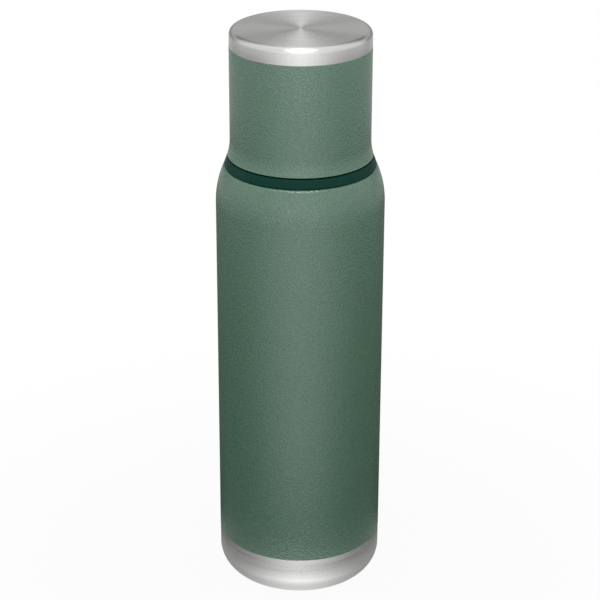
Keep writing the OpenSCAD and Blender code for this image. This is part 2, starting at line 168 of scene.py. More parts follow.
class FlaskSizes(PropertyGroup):
    """Sizes of the turned pieces"""
    body_radius: length("Body radius", "Outside radius of the coated body", high("outer_shell").x)
    coat_bottom: length(
        "Coat's lower edge", "Level where the coat ends above the base", low("outer_shell").z,
    )
    wall_top: length("Wall top", "Level where the straight wall meets the shoulder", 0.2212)
    wall: length("Wall", "Thickness of the body's walls", 0.0006)
    shoulder_radius: length("Shoulder radius", "Radius of the rounded shoulder", 0.05)
    shoulder_edge: length("Shoulder edge", "Radius of the shoulder's upper edge", 0.002)
    neck_radius: length("Neck radius", "Outside radius of the steel neck", 0.03001)
    neck_top: length("Neck top", "Level where the neck ends under its lip", high("outer_shell").z)
    base_radius: length("Base radius", "Outside radius of the bare steel base", high("base_cup").x)
    base_round: length("Base rounding", "Radius of the base's rounded edge", 0.0135)
    lap: length("Lap", "Length of a welded seam's sleeve on each side", 0.004)
    recess_radius: length("Recess radius", "Radius of the recess in the underside", 0.027)
    recess_depth: length("Recess depth", "Depth of the recess in the underside", 0.003)
    dimple_radius: length("Dimple radius", "Radius of the dimple round the vacuum port", 0.008)
    dimple_depth: length("Dimple depth", "Depth of the dimple round the vacuum port", 0.002)
    port_radius: length("Port radius", "Radius of the vacuum port", 0.0012)
    vessel_radius: length("Vessel radius", "Inside radius of the inner vessel", 0.04)
    vessel_wall: length("Vessel wall", "Thickness of the inner vessel's wall", 0.0005)
    floor_round: length("Floor rounding", "Inside radius of the vessel's bottom corner", 0.01)
    mouth_radius: length("Mouth radius", "Inside radius of the mouth", 0.02501)
    throat_radius: length("Throat radius", "Inside radius of the throat", 0.02201)
    seat_top: length(
        "Seat top", "Level of the top of the stopper's seat", high("outer_shell").z - 0.0145,
    )
    seat_height: length("Seat height", "Height of the conical seat", 0.006)
    throat_length: length("Throat length", "Length of the straight throat", 0.0087)
    band_height: length("Band height", "Height of the collar's visible band", 0.0049)
    band_draw: length("Band draw-in", "How far the band draws in to its top", 0.00167)
    band_lift: length("Band gap", "Gap between the shoulder and the band's outer wall", 0.00045)
    band_wall: length("Band wall", "Wall of the hollow band", 0.0025)
    collar_thread: length("Collar thread radius", "Radius of the collar under its thread", 0.03296)
    gasket_width: length("Gasket width", "Width of the groove for the collar's gasket", 0.0016)
    gasket_height: length("Gasket height", "Height of the groove for the collar's gasket", 0.0014)
    cup_wall: length("Cup wall", "Thickness of the cup's steel walls", 0.0005)
    cup_flare: length("Cup flare", "How far the cup's rim flares out", 0.00129)
    cup_flare_height: length("Flare height", "Height over which the rim flares", 0.0089)
    foot_round: length("Foot rounding", "Radius of the cup foot's rounded edge", 0.0031)
    cup_thread: length("Cup thread radius", "Radius of the cup under its thread", 0.03456)
    cup_bore: length("Cup bore", "Inside radius of the cup above its thread", 0.03196)
    cup_step: length(
        "Cup step", "Level of the step that holds the cup's seal", high("cup_seal").z + 0.00005,
    )
    cup_floor: length(
        "Cup floor", "Level of the cup's floor, with the cup closed", high("cup_liner").z - 0.0005,
    )
    cup_floor_round: length("Cup floor rounding", "Inside radius of the cup's bottom corner", 0.006)
    cup_lip: length("Cup lip", "Height of the cup's rolled lip above its rim", 0.0015)
    ridge_root: length("Ridge root", "Width of a thread ridge at its root", 0.002)
    ridge_crest: length("Ridge crest", "Width of a thread ridge at its crest", 0.001)
    cup_ridge: length("Cup ridge", "Depth of the cup's thread", 0.0012)
    cup_lead: length("Cup lead", "Rise of the cup in one turn", 0.018)
    stopper_ridge: length("Stopper ridge", "Depth of the stopper's thread", 0.0014)
    stopper_lead: length("Stopper lead", "Rise of the stopper in one turn", 0.0085)
    ridge_top: length("Ridge end", "Distance of a fixed ridge from the end of its wall", 0.0014)
    edge: length("Edge", "Radius of a moulded or trimmed edge", 0.00025)
    fine_edge: length("Fine edge", "Radius of a thin sheet's edge", 0.00012)


class FlaskColours(PropertyGroup):
    """Colours of the finishes"""
    coat: colour("Coat", "Green of the hammered coat", (0.0615, 0.159, 0.0975))
    coat_pit: colour("Coat pits", "Green in the pits of the coat", (0.0355, 0.097, 0.058))
    steel: colour("Steel", "Bare brushed steel", (0.66, 0.657, 0.647))
    steel_line: colour("Brush lines", "Steel in the brush lines", (0.634, 0.631, 0.622))
    vessel: colour("Vessel steel", "Polished steel of the inside", (0.6, 0.595, 0.58))
    plastic: colour("Plastic", "Dark green moulded plastic", (0.002, 0.03, 0.022))
    silicone: colour("Silicone", "Dark grey seal", (0.016, 0.018, 0.018))
    copper: colour("Copper", "Copper foil", (0.72, 0.36, 0.22))
    foam: colour("Foam", "Pale expanded foam", (0.8, 0.77, 0.68))
    braze: colour("Braze", "Braze bead", (0.3, 0.27, 0.2))
    sinter: colour("Sinter", "Sintered getter", (0.14, 0.14, 0.15))


class FlaskStudio(PropertyGroup):
    """The camera and the lights"""
    camera: FloatVectorProperty(
        name="Camera", description="Place of the camera", default=(0, -0.9804, 0.5965),
        size=3, unit="LENGTH", subtype="TRANSLATION",
    )
    pitch: FloatProperty(
        name="Pitch", description="How far the camera looks down", default=math.radians(23.86),
        unit="ROTATION", subtype="ANGLE",
    )
    roll: FloatProperty(
        name="Roll", description="How far the camera leans", default=math.radians(0.18),
        unit="ROTATION", subtype="ANGLE",
    )
    lens: FloatProperty(
        name="Lens", description="Focal length on a 36 mm sensor", default=118.06, min=1,
    )
    light: FloatProperty(
        name="Light", description="Power of the softbox above the front", default=5.2,
        unit="POWER", subtype="POWER", min=0,
    )
    ambient: share("Ambient", "Strength of the room's own light", 1.0)
    floor: colour("Floor", "Colour of the pale floor", (0.3, 0.3, 0.3))


# Nodes and materials


def put(tree, socket, value):
    """Links an input to another node's output, or sets its value"""
    if isinstance(value, bpy.types.NodeSocket):
        tree.links.new(value, socket)
    else:
        socket.default_value = value


def add(tree, kind, inputs=None, **settings):
    """Adds a shader node; an input takes a value or another node's output"""
    made = tree.nodes.new(kind)
    for key, value in settings.items():
        setattr(made, key, value)
    for key, value in (inputs or {}).items():
        put(tree, made.inputs[key], value)
    return made


def maths(tree, operation, *values):
    """Adds a Math node and gives its result"""
    return add(tree, "ShaderNodeMath", dict(enumerate(values)), operation=operation).outputs[0]


def vector_maths(tree, operation, *values):
    """Adds a Vector Math node and gives it"""
    return add(tree, "ShaderNodeVectorMath", dict(enumerate(values)), operation=operation)


def map_range(tree, value, from_low, from_high, to_low=0.0, to_high=1.0):
    """Adds a smooth Map Range node and gives its result"""
    made = add(tree, "ShaderNodeMapRange", {
        "Value": value, "From Min": from_low, "From Max": from_high,
        "To Min": to_low, "To Max": to_high,
    }, interpolation_type="SMOOTHSTEP")
    return made.outputs["Result"]


def ramps(tree, value, rows):
    """Adds up a table of smooth ramps of one value and gives the sum"""
    total, *others = [map_range(tree, value, *row) for row in rows]
    for other in others:
        total = maths(tree, "ADD", total, other)
    return total


def mix_value(tree, factor, first, second):
    """Adds a float Mix node and gives its result"""
    made = add(tree, "ShaderNodeMix", {"Factor": factor, "A": first, "B": second})
    return made.outputs["Result"]


def axes(tree, vector):
    """Adds a Separate XYZ node and gives its outputs"""
    return add(tree, "ShaderNodeSeparateXYZ", {0: vector}).outputs


def mirrored(tree, ray):
    """One where a ray comes off a mirror or through glass"""
    return maths(tree, "MAXIMUM", ray["Is Glossy Ray"], ray["Is Transmission Ray"])


def facing_front(tree, ahead, focus):
    """A lobe that is one towards the camera's side and falls off round to the back"""
    return maths(tree, "POWER", maths(tree, "MULTIPLY_ADD", ahead, -0.5, 0.5), focus)


def mix_colour(tree, factor, first, second):
    """Adds a colour Mix node and gives its result"""
    made = tree.nodes.new("ShaderNodeMix")
    made.data_type = "RGBA"
    sockets = [s for s in made.inputs if s.enabled]
    for socket, value in zip(sockets, (factor, first, second)):
        put(tree, socket, value)
    return next(s for s in made.outputs if s.enabled)


def new_group(name, inputs, outputs):
    """Starts a shader node group; gives its tree, what it is given and what it puts out"""
    tree = bpy.data.node_groups.new(name, "ShaderNodeTree")
    for label, default in inputs.items():
        socket = tree.interface.new_socket(
            name=label, in_out="INPUT", socket_type="NodeSocketFloat",
        )
        socket.default_value = default
    for label in outputs:
        tree.interface.new_socket(name=label, in_out="OUTPUT", socket_type="NodeSocketFloat")
    given = tree.nodes.new("NodeGroupInput").outputs
    return tree, given, tree.nodes.new("NodeGroupOutput").inputs


def brushed_group():
    """Fine lines that run round the flask's axis, on walls and on flat ends alike"""
    tree, given, out = new_group(
        "brushed", {"Lines": 1500.0, "Waver": 1.2}, ("Fine", "Broad"),
    )
    place = add(tree, "ShaderNodeTexCoord").outputs["Object"]
    flat = vector_maths(tree, "MULTIPLY", place, (1, 1, 0)).outputs["Vector"]
    radius = vector_maths(tree, "LENGTH", flat).outputs["Value"]
    way = axes(tree, vector_maths(tree, "NORMALIZE", flat).outputs["Vector"])
    height = axes(tree, place)["Z"]
    for label, coarser in (("Fine", 1.0), ("Broad", 0.22)):
        lines = maths(tree, "MULTIPLY", given["Lines"], coarser)
        across = add(tree, "ShaderNodeCombineXYZ", {
            "X": maths(tree, "MULTIPLY", radius, lines),
            "Y": maths(tree, "MULTIPLY", height, lines),
            "Z": maths(tree, "MULTIPLY", way["X"], given["Waver"]),
        }).outputs[0]
        noise = add(tree, "ShaderNodeTexNoise", {
            "Vector": across, "W": maths(tree, "MULTIPLY", way["Y"], given["Waver"]),
            "Scale": 1.0, "Detail": 3.0, "Roughness": 0.6,
        }, noise_dimensions="4D")
        tree.links.new(noise.outputs[0], out[label])
    return tree


def hammered_group():
    """The soft pits and swells of a hammered coat, and the dark specks in it"""
    tree, given, out = new_group(
        "hammered", {"Cells": 900.0, "Specks": 1500.0}, ("Height", "Pits"),
    )
    place = add(tree, "ShaderNodeTexCoord").outputs["Object"]
    cells = add(tree, "ShaderNodeTexVoronoi", {
        "Vector": place, "Scale": given["Cells"], "Smoothness": 0.7, "Randomness": 1.0,
    }, feature="SMOOTH_F1").outputs["Distance"]
    swell = add(tree, "ShaderNodeTexNoise", {
        "Vector": place, "Scale": maths(tree, "MULTIPLY", given["Cells"], 0.6), "Detail": 2.0,
    }).outputs[0]
    specks = add(tree, "ShaderNodeTexNoise", {
        "Vector": place, "Scale": given["Specks"], "Detail": 1.0,
    }).outputs[0]
    tree.links.new(maths(tree, "MULTIPLY_ADD", swell, 0.3, cells), out["Height"])
    tree.links.new(map_range(tree, specks, 0.42, 0.66), out["Pits"])
    return tree


def handled_group():
    """Broad, faint unevenness of a surface, as moulding and handling leave it"""
    tree, given, out = new_group(
        "handled", {"Size": 40.0, "Grain": 4000.0}, ("Cloud", "Grain"),
    )
    place = add(tree, "ShaderNodeTexCoord").outputs["Object"]
    for label, source in (("Cloud", "Size"), ("Grain", "Grain")):
        noise = add(tree, "ShaderNodeTexNoise", {
            "Vector": place, "Scale": given[source], "Detail": 2.0,
        }).outputs[0]
        tree.links.new(noise, out[label])
    return tree


GROUPS = {
    "brushed": brushed_group,
    "hammered": hammered_group,
    "handled": handled_group,
}


def group(tree, kind, **inputs):
    """Places a shared group, built once, in a material and gives its outputs"""
    source = bpy.data.node_groups.get(kind) or GROUPS[kind]()
    return add(tree, "ShaderNodeGroup", inputs, node_tree=source).outputs


def rgba(value, part=1.0):
    """A colour, or a darker or brighter part of it, with full alpha"""
    return (*(part * channel for channel in value), 1.0)


def vary(tree, noise, lowest, highest, span=NOISE_SPAN):
    """Spreads the usual span of a noise between two values"""
    return map_range(tree, noise, *span, lowest, highest)


def bump(tree, height, depth):
    """Adds a Bump node for a relief of this depth in metres and gives its normal"""
    return add(tree, "ShaderNodeBump", {
        "Height": height, "Strength": 1.0, "Distance": depth,
    }).outputs["Normal"]


def start(name):
    """Starts a material; gives it, its tree and its shader"""
    made = bpy.data.materials.new("flask_" + name)
    made.use_nodes = True
    return made, made.node_tree, made.node_tree.nodes["Principled BSDF"]


def feed(tree, shader, **inputs):
    """Sets or links the shader's inputs, named with underscores for blanks"""
    for label, value in inputs.items():
        put(tree, shader.inputs[label.replace("_", " ")], value)


def coat_material(colours):
    """Green powder coat with a hammered texture"""
    made, tree, shader = start("green_coat")
    hammered = group(tree, "hammered", Cells=1050.0, Specks=1900.0)
    handled = group(tree, "handled", Size=18.0, Grain=3000.0)
    feed(
        tree, shader,
        Base_Color=mix_colour(tree, hammered["Pits"], rgba(colours.coat), rgba(colours.coat_pit)),
        Roughness=vary(tree, handled["Grain"], 0.22, 0.3),
        Normal=bump(tree, hammered["Height"], 0.18e-3),
        Specular_IOR_Level=1.0,
        IOR=1.53,
    )
    return made


def brushed_material(colours, name="brushed_steel", roughness=0.28, lines=4000.0, depth=0.8e-6):
    """Steel brushed round the axis"""
    made, tree, shader = start(name)
    lined = group(tree, "brushed", Lines=lines)
    fine = maths(tree, "MULTIPLY", lined["Fine"], 0.5)
    both = maths(tree, "MULTIPLY_ADD", lined["Broad"], 0.5, fine)
    feed(
        tree, shader,
        Base_Color=mix_colour(
            tree, map_range(tree, both, 0.35, 0.65), rgba(colours.steel_line), rgba(colours.steel),
        ),
        Metallic=1.0,
        Roughness=vary(tree, both, roughness - 0.05, roughness + 0.05),
        Anisotropic=0.92,
        Anisotropic_Rotation=0.25,
        Normal=bump(tree, lined["Fine"], depth),
    )
    return made


def vessel_material(colours):
    """Polished steel with faint drawing lines"""
    made, tree, shader = start("vessel_steel")
    lined = group(tree, "brushed", Lines=700.0, Waver=2.5)
    handled = group(tree, "handled", Size=60.0, Grain=2500.0)
    dim = rgba(colours.vessel, 0.85)
    feed(
        tree, shader,
        Base_Color=mix_colour(tree, lined["Broad"], dim, rgba(colours.vessel)),
        Metallic=1.0,
        Roughness=vary(tree, handled["Cloud"], 0.17, 0.26),
        Normal=bump(tree, handled["Grain"], 6e-6),
    )
    return made


def plastic_material(colours):
    """Satin moulded plastic"""
    made, tree, shader = start("dark_green_plastic")
    handled = group(tree, "handled", Size=70.0, Grain=5200.0)
    pale = tuple(1.35 * c + 0.001 for c in colours.plastic)
    feed(
        tree, shader,
        Base_Color=mix_colour(tree, handled["Cloud"], rgba(colours.plastic), rgba(pale)),
        Roughness=vary(tree, handled["Grain"], 0.4, 0.52),
        Normal=bump(tree, handled["Grain"], 10e-6),
        Specular_IOR_Level=0.08,
    )
    return made


def silicone_material(colours):
    """Matte silicone rubber with a little bloom"""
    made, tree, shader = start("silicone")
    handled = group(tree, "handled", Size=120.0, Grain=6000.0)
    bloom = rgba(colours.silicone, 2.2)
    feed(
        tree, shader,
        Base_Color=mix_colour(
            tree, map_range(tree, handled["Cloud"], 0.4, 0.8), rgba(colours.silicone), bloom,
        ),
        Roughness=vary(tree, handled["Grain"], 0.55, 0.7),
        Normal=bump(tree, handled["Grain"], 12e-6),
    )
    return made


def copper_material(colours):
    """Bright copper foil, a little crumpled"""
    made, tree, shader = start("copper_foil")
    handled = group(tree, "handled", Size=160.0, Grain=900.0)
    tarnish = rgba(colours.copper, 0.7)
    feed(
        tree, shader,
        Base_Color=mix_colour(tree, handled["Cloud"], tarnish, rgba(colours.copper)),
        Metallic=1.0,
        Roughness=vary(tree, handled["Grain"], 0.22, 0.36),
        Normal=bump(tree, handled["Cloud"], 0.3e-3),
    )
    return made


def foam_material(colours):
    """Pale foam with small bubbles"""
    made, tree, shader = start("foam")
    hammered = group(tree, "hammered", Cells=1600.0, Specks=900.0)
    shade = rgba(colours.foam, 0.82)
    feed(
        tree, shader,
        Base_Color=mix_colour(tree, hammered["Pits"], rgba(colours.foam), shade),
        Roughness=vary(tree, hammered["Height"], 0.78, 0.95, RELIEF_SPAN),
        Normal=bump(tree, hammered["Height"], 0.2e-3),
    )
    return made


def braze_material(colours):
    """Dull braze metal"""
    made, tree, shader = start("braze")
    handled = group(tree, "handled", Size=500.0, Grain=2500.0)
    dark = rgba(colours.braze, 0.6)
    feed(
        tree, shader,
        Base_Color=mix_colour(tree, handled["Cloud"], dark, rgba(colours.braze)),
        Metallic=1.0,
        Roughness=vary(tree, handled["Grain"], 0.4, 0.6),
        Normal=bump(tree, handled["Cloud"], 0.2e-3),
    )
    return made


def sinter_material(colours):
    """Grainy sintered metal"""
    made, tree, shader = start("getter_metal")
    hammered = group(tree, "hammered", Cells=4000.0, Specks=5000.0)
    dark = rgba(colours.sinter, 0.5)
    feed(
        tree, shader,
        Base_Color=mix_colour(tree, hammered["Pits"], rgba(colours.sinter), dark),
        Metallic=vary(tree, hammered["Height"], 0.6, 0.9, RELIEF_SPAN),
        Roughness=vary(tree, hammered["Height"], 0.6, 0.85, RELIEF_SPAN),
        Normal=bump(tree, hammered["Height"], 80e-6),
    )
    return made


def floor_material(studio):
    """Pale paper; nearly white to the camera, and to mirrors a glow from the floor's front"""
    made = bpy.data.materials.new("pale_floor")
    made.use_nodes = True
    tree = made.node_tree
    tree.nodes.clear()
    ray = add(tree, "ShaderNodeLightPath").outputs
    place = add(tree, "ShaderNodeTexCoord").outputs["Object"]
    away = vector_maths(tree, "LENGTH", place).outputs["Value"]
    ahead = maths(tree, "DIVIDE", axes(tree, place)["Y"], away)

    grain = add(tree, "ShaderNodeTexNoise", {"Vector": place, "Scale": 60.0}).outputs[0]
    paper = mix_colour(tree, maths(tree, "MULTIPLY", grain, 0.04), rgba(studio.floor), WHITE)
    shown = add(tree, "ShaderNodeBsdfDiffuse", {"Color": paper}).outputs[0]

    behind = map_range(tree, ahead, *FLOOR_BEHIND_SPAN, 1.0, ramps(tree, away, FLOOR_BEHIND))
    side = maths(tree, "MULTIPLY", ramps(tree, away, FLOOR_SIDE), behind)
    lobe = facing_front(tree, ahead, ramps(tree, away, FLOOR_FOCUS))
    glow = mix_value(tree, lobe, side, ramps(tree, away, FLOOR_FRONT))
    for rays, part, strength in (
        (ray["Is Camera Ray"], ramps(tree, away, FLOOR_WHITE), 1.0),
        (mirrored(tree, ray), 1.0, glow),
    ):
        white = add(tree, "ShaderNodeEmission", {"Color": WHITE, "Strength": strength})
        shown = add(tree, "ShaderNodeMixShader", {
            0: maths(tree, "MULTIPLY", rays, part), 1: shown, 2: white.outputs[0],
        }).outputs[0]
    clear = add(tree, "ShaderNodeBsdfTransparent").outputs[0]
    shown = add(tree, "ShaderNodeMixShader", {
        0: add(tree, "ShaderNodeNewGeometry").outputs["Backfacing"], 1: shown, 2: clear,
    }).outputs[0]
    add(tree, "ShaderNodeOutputMaterial", {"Surface": shown})
    return made


FINISHES = {
    "green_coat": coat_material,
    "brushed_steel": brushed_material,
    "disc_steel": functools.partial(
        brushed_material, name="disc_steel", roughness=0.34, lines=3500.0, depth=1.5e-6,
    ),
    "vessel_steel": vessel_material,
    "spring_steel": functools.partial(
        brushed_material, name="spring_steel", roughness=0.38, lines=6000.0, depth=1e-6,
    ),
    "dark_green_plastic": plastic_material,
    "silicone": silicone_material,
    "copper_foil": copper_material,
    "foam": foam_material,
    "braze": braze_material,
    "getter_metal": sinter_material,
}


def finish_of(slot):
    """The material of a slot, made once"""
    made = bpy.data.materials.get("flask_" + slot)
    return made or FINISHES[slot](bpy.context.scene.flask_colours)


# Meshes and pieces


class Section:
    """A half section of a turned piece, drawn in the XZ plane from radii and levels"""

    def __init__(self, r, z):
        self.mesh = bmesh.new()
        self.first = self.last = self.mesh.verts.new((r, 0, z))

    def to(self, *points):
        """Carries the line on to each point"""
        for r, z in points:
            corner = self.mesh.verts.new((r, 0, z))
            self.mesh.edges.new((self.last, corner))
            self.last = corner

    def arc(self, r, z, turn, steps=ARC_STEPS):
        """Carries the line on round a centre; a positive turn goes from outwards to upwards"""
        made = bmesh.ops.spin(
            self.mesh, geom=[self.last], cent=(r, 0, z), axis=(0, -1, 0),
            angle=turn, steps=steps,
        )
        self.last = next(g for g in made["geom_last"] if isinstance(g, bmesh.types.BMVert))

    def spun(self, edge=0.0, closed=True):
        """Turns the section about the axis, rounds its sharp edges and gives the mesh"""
        bm = self.mesh
        if closed:
            bm.edges.new((self.last, self.first))
        bmesh.ops.spin(
            bm, geom=bm.verts[:] + bm.edges[:], cent=(0, 0, 0), axis=(0, 0, 1),
            angle=FULL_TURN, steps=SPIN_STEPS, use_merge=True,
        )
        bmesh.ops.remove_doubles(bm, verts=bm.verts, dist=WELD)
        bmesh.ops.dissolve_degenerate(bm, edges=bm.edges, dist=WELD)
        bmesh.ops.recalc_face_normals(bm, faces=bm.faces)
        if edge:
            soften(bm, edge)
        return bm


def soften(bm, width):
    """Rounds the sharp edges of a mesh"""
    sharp = [e for e in bm.edges if e.is_manifold and e.calc_face_angle() > SHARP_ANGLE]
    bmesh.ops.bevel(
        bm, geom=sharp, offset=width, offset_type="OFFSET", affect="EDGES", segments=ROUND_STEPS,
        profile=0.5, material=-1, clamp_overlap=True,
    )


def piece(name, bm, slot, body, node):
    """Makes a mesh a piece of the flask that stands for a CAD node and moves with its body"""
    mesh = bpy.data.meshes.new(name)
    bm.to_mesh(mesh)
    bm.free()
    mesh.materials.append(finish_of(slot))
    mesh.shade_smooth()
    mesh.set_sharp_from_angle(angle=SMOOTH_ANGLE)
    made = bpy.data.objects.new(name, mesh)
    bpy.context.scene.collection.objects.link(made)
    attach(made, body)
    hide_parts(node)


def low_radius(node):
    """Inside radius of a round CAD ring"""
    return min(v.co.xy.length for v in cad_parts[node].data.vertices)


def ring(name, node, body, edge):
    """Turns a plain ring of silicone with soft edges in a CAD ring's place"""
    bottom, top, bore, outer = low(node).z, high(node).z, low_radius(node), high(node).x
    line = Section(bore, bottom)
    line.to((outer, bottom), (outer, top), (bore, top))
    piece(name, line.spun(edge), "silicone", body, node)


def softened(name, node, slot, body, edge):
    """Makes a piece of a CAD node's own shape, with flat faces joined and sharp edges rounded"""
    bm = bmesh.new()
    bm.from_mesh(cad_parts[node].data)
    bmesh.ops.remove_doubles(bm, verts=bm.verts, dist=CAD_WELD)
    bmesh.ops.dissolve_limit(bm, angle_limit=FLAT_ANGLE, verts=bm.verts, edges=bm.edges)
    bmesh.ops.recalc_face_normals(bm, faces=bm.faces)
    soften(bm, edge)
    piece(name, bm, slot, body, node)


def dress_node(node, slot):
    """Gives a CAD node that stays its finish"""
    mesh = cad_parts[node].data
    mesh.materials.clear()
    mesh.materials.append(finish_of(slot))


def add_ridges(bm, sizes, root, crest, level, lead, sweep, starts):
    """Adds the helical ridges of a thread, sunk a little into their wall and faded at both ends"""
    side = math.copysign(1, crest - root)
    foot = root - side * RIDGE_SINK
    steps = round(sweep / RIDGE_STEP)
    turn = sweep / steps
    for start_index in range(starts):
        outline = [
            bm.verts.new((foot, 0, level - sizes.ridge_root / 2)),
            bm.verts.new((crest, 0, level - sizes.ridge_crest / 2)),
            bm.verts.new((crest, 0, level + sizes.ridge_crest / 2)),
            bm.verts.new((foot, 0, level + sizes.ridge_root / 2)),
        ]
        bmesh.ops.rotate(
            bm, verts=outline, cent=(0, 0, 0),
            matrix=Matrix.Rotation(FULL_TURN * start_index / starts, 3, "Z"),
        )
        end = [bm.faces.new(outline)]
        for step in range(steps + 1):
            tall = min(1.0, max(FADE_LEAST, min(step, steps - step) / FADE_STEPS))
            verts = [g for g in end if isinstance(g, bmesh.types.BMVert)] or outline
            verts.sort(key=lambda v: side * v.co.xy.length)
            for v in verts[-2:]:
                v.co.xy = v.co.xy.normalized() * (root + tall * (crest - root))
            if step < steps:
                end = bmesh.ops.spin(
                    bm, geom=end, cent=(0, 0, 0), axis=(0, 0, 1), angle=turn, steps=1,
                    dvec=(0, 0, lead * turn / FULL_TURN),
                )["geom_last"]
    bmesh.ops.recalc_face_normals(bm, faces=bm.faces)


# Operators and panel


def sizes_of(context):
    """The sizes that the user set"""
    return context.scene.flask_sizes


class FLASK_OT_shell(Operator):
    """Turns the coated outer wall with its rounded shoulder and the neck"""
    bl_idname = "flask.shell"
    bl_label = "Body shell"

    def execute(self, context):
        s = sizes_of(context)
        collar = low("neck_collar").z
        centre = s.body_radius - s.shoulder_radius
        edge_z = collar - s.shoulder_edge
        reach = s.shoulder_radius - s.shoulder_edge
        lean = math.asin((edge_z - s.wall_top) / reach)
        edge_r = centre + reach * math.cos(lean)
        line = Section(s.body_radius, s.coat_bottom)
        line.to((s.body_radius, s.wall_top))
        line.arc(centre, s.wall_top, lean, FINE_ARC_STEPS)
        line.arc(edge_r, edge_z, QUARTER - lean)
        line.to(
            (s.neck_radius, collar), (s.neck_radius, s.neck_top),
            (s.neck_radius - s.wall, s.neck_top), (s.neck_radius - s.wall, collar - s.wall),
            (edge_r, collar - s.wall),
        )
        line.arc(edge_r, edge_z, lean - QUARTER)
        line.arc(centre, s.wall_top, -lean, FINE_ARC_STEPS)
        line.to((s.body_radius - s.wall, s.coat_bottom))
        piece("body_shell", line.spun(s.fine_edge), "green_coat", "flask", "outer_shell")
        return {"FINISHED"}


class FLASK_OT_base(Operator):
    """Turns the bare steel base and the disc in its underside"""
    bl_idname = "flask.base"
    bl_label = "Base"

    def execute(self, context):
        s = sizes_of(context)
        flat = s.base_radius - s.base_round
        plate = s.recess_depth + s.wall
        dimple = s.recess_depth + s.dimple_depth
        sleeve = s.body_radius - s.wall
        line = Section(s.port_radius, dimple)
        line.to(
            (s.dimple_radius, dimple), (s.dimple_radius, s.recess_depth),
            (s.recess_radius, s.recess_depth), (s.recess_radius, 0), (flat, 0),
        )
        line.arc(flat, s.base_round, QUARTER, FINE_ARC_STEPS)
        line.to(
            (s.base_radius, s.coat_bottom), (sleeve, s.coat_bottom),
            (sleeve, s.coat_bottom + s.lap), (sleeve - s.wall, s.coat_bottom + s.lap),
            (sleeve - s.wall, s.coat_bottom - s.lap),
            (s.base_radius - s.wall, s.coat_bottom - s.lap), (s.base_radius - s.wall, s.base_round),
        )
        line.arc(flat, s.base_round, -QUARTER, FINE_ARC_STEPS)
        line.to(
            (s.recess_radius + s.wall, s.wall), (s.recess_radius + s.wall, plate),
            (s.dimple_radius + s.wall, plate), (s.dimple_radius + s.wall, dimple + s.wall),
            (s.port_radius, dimple + s.wall),
        )
        piece("base_steel", line.spun(s.fine_edge), "brushed_steel", "flask", "base_cup")

        bottom, top, edge = low("base_disc").z, high("base_disc").z, high("base_disc").x
        line = Section(0, bottom)
        line.to((edge / 2, bottom), (edge, bottom), (edge, top), (0, top))
        piece("underside_disc", line.spun(s.edge, closed=False), "disc_steel", "flask", "base_disc")
        return {"FINISHED"}


class FLASK_OT_vessel(Operator):
    """Turns the inner vessel with its rolled lip and mouth thread, and its bottom"""
    bl_idname = "flask.vessel"
    bl_label = "Inner vessel"

    def execute(self, context):
        s = sizes_of(context)
        t = s.vessel_wall
        bottom = low("inner_vessel").z
        lip = (s.neck_radius - s.mouth_radius) / 2
        lip_r = s.mouth_radius + lip
        dome = s.vessel_radius - s.throat_radius
        seat_low = s.seat_top - s.seat_height
        dome_z = seat_low - s.throat_length - dome
        line = Section(s.vessel_radius, bottom)
        line.to((s.vessel_radius, dome_z))
        line.arc(s.throat_radius, dome_z, QUARTER, FINE_ARC_STEPS)
        line.to(
            (s.throat_radius, seat_low), (s.mouth_radius, s.seat_top), (s.mouth_radius, s.neck_top),
        )
        line.arc(lip_r, s.neck_top, -2 * QUARTER, FINE_ARC_STEPS)
        line.to((s.neck_radius - t, s.neck_top))
        line.arc(lip_r, s.neck_top, 2 * QUARTER, FINE_ARC_STEPS)
        line.to(
            (s.mouth_radius + t, s.seat_top), (s.throat_radius + t, seat_low),
            (s.throat_radius + t, dome_z + dome + t), (s.throat_radius, dome_z + dome + t),
        )
        line.arc(s.throat_radius, dome_z, -QUARTER, FINE_ARC_STEPS)
        line.to((s.vessel_radius + t, bottom))
        bm = line.spun(s.fine_edge)
        add_ridges(
            bm, s, s.mouth_radius, s.mouth_radius - s.stopper_ridge,
            s.neck_top - s.ridge_top - s.stopper_lead * MOUTH_SWEEP / FULL_TURN,
            s.stopper_lead, MOUTH_SWEEP, MOUTH_STARTS,
        )
        piece("inner_wall", bm, "vessel_steel", "flask", "inner_vessel")

        floor = low("inner_bottom").z
        flat = s.vessel_radius - s.floor_round
        line = Section(0, floor + t)
        line.to((flat, floor + t))
        line.arc(flat, bottom, QUARTER)
        line.to((s.vessel_radius + t, bottom))
        line.arc(flat, bottom, -QUARTER)
        line.to((0, floor))
        piece("inner_floor", line.spun(closed=False), "vessel_steel", "flask", "inner_bottom")
        return {"FINISHED"}


